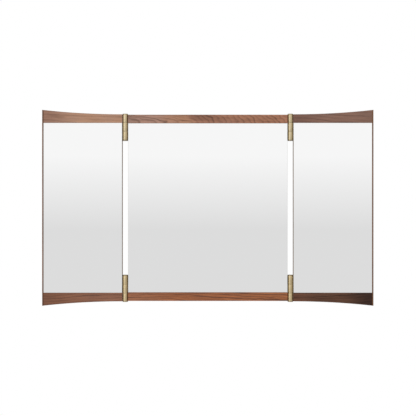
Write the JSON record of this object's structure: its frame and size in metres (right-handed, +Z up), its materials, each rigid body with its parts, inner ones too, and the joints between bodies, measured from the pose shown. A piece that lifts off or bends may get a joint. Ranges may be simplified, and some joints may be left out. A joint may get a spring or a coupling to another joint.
{
  "type": "three panel folding wall mirror",
  "caption": "Wall mirror in a slim walnut frame: a fixed centre panel with a wing on each side, on brass barrel hinges, so that the wings fold forward.",
  "frame": {"origin": "the middle of the hanging strip's back face, on the wall plane, halfway between the two keyholes", "axes": "+Z up, +X to the right as the mirror is looked at, +Y into the wall, so the glass faces -Y"},
  "size_m": [1.192, 0.0293, 0.7049],
  "materials": {
    "walnut_left_top": "satin pale walnut with straight grain along the rail",
    "walnut_left_bottom": "satin walnut, mid brown, straight grain",
    "walnut_centre_top": "satin figured walnut with swirled and slanting grain",
    "walnut_centre_bottom": "satin warm brown walnut, fine straight grain",
    "walnut_right_top": "satin walnut, cool mid brown",
    "walnut_right_bottom": "satin dark walnut",
    "walnut_stiles": "satin walnut, grain upright",
    "mirror_glass": "silvered float glass with ground and polished edges",
    "backing_board": "smooth fibreboard, stained brown",
    "brass": "satin brass, lightly aged",
    "steel_hardware": "zinc plated steel",
    "felt": "dark wool felt"
  },
  "bodies": {
    "centre_panel": {"centre_backing_board": "backing_board", "centre_board_screw_lower_left": "steel_hardware", "centre_board_screw_lower_right": "steel_hardware", "centre_board_screw_upper_left": "steel_hardware", "centre_board_screw_upper_right": "steel_hardware", "centre_bottom_rail": "walnut_centre_bottom", "centre_left_stile": "walnut_stiles", "centre_mirror_glass": "mirror_glass", "centre_right_stile": "walnut_stiles", "centre_top_rail": "walnut_centre_top", "hanging_strip": "steel_hardware", "hanging_strip_screw_left_inner": "steel_hardware", "hanging_strip_screw_left_outer": "steel_hardware", "hanging_strip_screw_right_inner": "steel_hardware", "hanging_strip_screw_right_outer": "steel_hardware", "left_lower_hinge_centre_leaf": "brass", "left_lower_hinge_centre_screw_inner": "brass", "left_lower_hinge_centre_screw_outer": "brass", "left_lower_hinge_pin": "brass", "left_upper_hinge_centre_leaf": "brass", "left_upper_hinge_centre_screw_inner": "brass", "left_upper_hinge_centre_screw_outer": "brass", "left_upper_hinge_pin": "brass", "right_lower_hinge_centre_leaf": "brass", "right_lower_hinge_centre_screw_inner": "brass", "right_lower_hinge_centre_screw_outer": "brass", "right_lower_hinge_pin": "brass", "right_upper_hinge_centre_leaf": "brass", "right_upper_hinge_centre_screw_inner": "brass", "right_upper_hinge_centre_screw_outer": "brass", "right_upper_hinge_pin": "brass", "wall_pad": "felt"},
    "left_wing": {"left_lower_hinge_wing_leaf": "brass", "left_lower_hinge_wing_screw_inner": "brass", "left_lower_hinge_wing_screw_outer": "brass", "left_upper_hinge_wing_leaf": "brass", "left_upper_hinge_wing_screw_inner": "brass", "left_upper_hinge_wing_screw_outer": "brass", "left_wing_backing_board": "backing_board", "left_wing_board_screw_lower": "steel_hardware", "left_wing_board_screw_upper": "steel_hardware", "left_wing_bottom_rail": "walnut_left_bottom", "left_wing_inner_stile": "walnut_stiles", "left_wing_mirror_glass": "mirror_glass", "left_wing_outer_stile": "walnut_stiles", "left_wing_top_rail": "walnut_left_top"},
    "right_wing": {"right_lower_hinge_wing_leaf": "brass", "right_lower_hinge_wing_screw_inner": "brass", "right_lower_hinge_wing_screw_outer": "brass", "right_upper_hinge_wing_leaf": "brass", "right_upper_hinge_wing_screw_inner": "brass", "right_upper_hinge_wing_screw_outer": "brass", "right_wing_backing_board": "backing_board", "right_wing_board_screw_lower": "steel_hardware", "right_wing_board_screw_upper": "steel_hardware", "right_wing_bottom_rail": "walnut_right_bottom", "right_wing_inner_stile": "walnut_stiles", "right_wing_mirror_glass": "mirror_glass", "right_wing_outer_stile": "walnut_stiles", "right_wing_top_rail": "walnut_right_top"}
  },
  "joints": [
    {"name": "left_wing_fold", "type": "hinge", "parent": "centre_panel", "child": "left_wing", "pos_m": [-0.2975, -0.0193, 0], "axis": [0, 0, 1], "range_deg": [0, 100]},
    {"name": "right_wing_fold", "type": "hinge", "parent": "centre_panel", "child": "right_wing", "pos_m": [0.2975, -0.0193, 0], "axis": [0, 0, -1], "range_deg": [0, 100]}
  ]
}
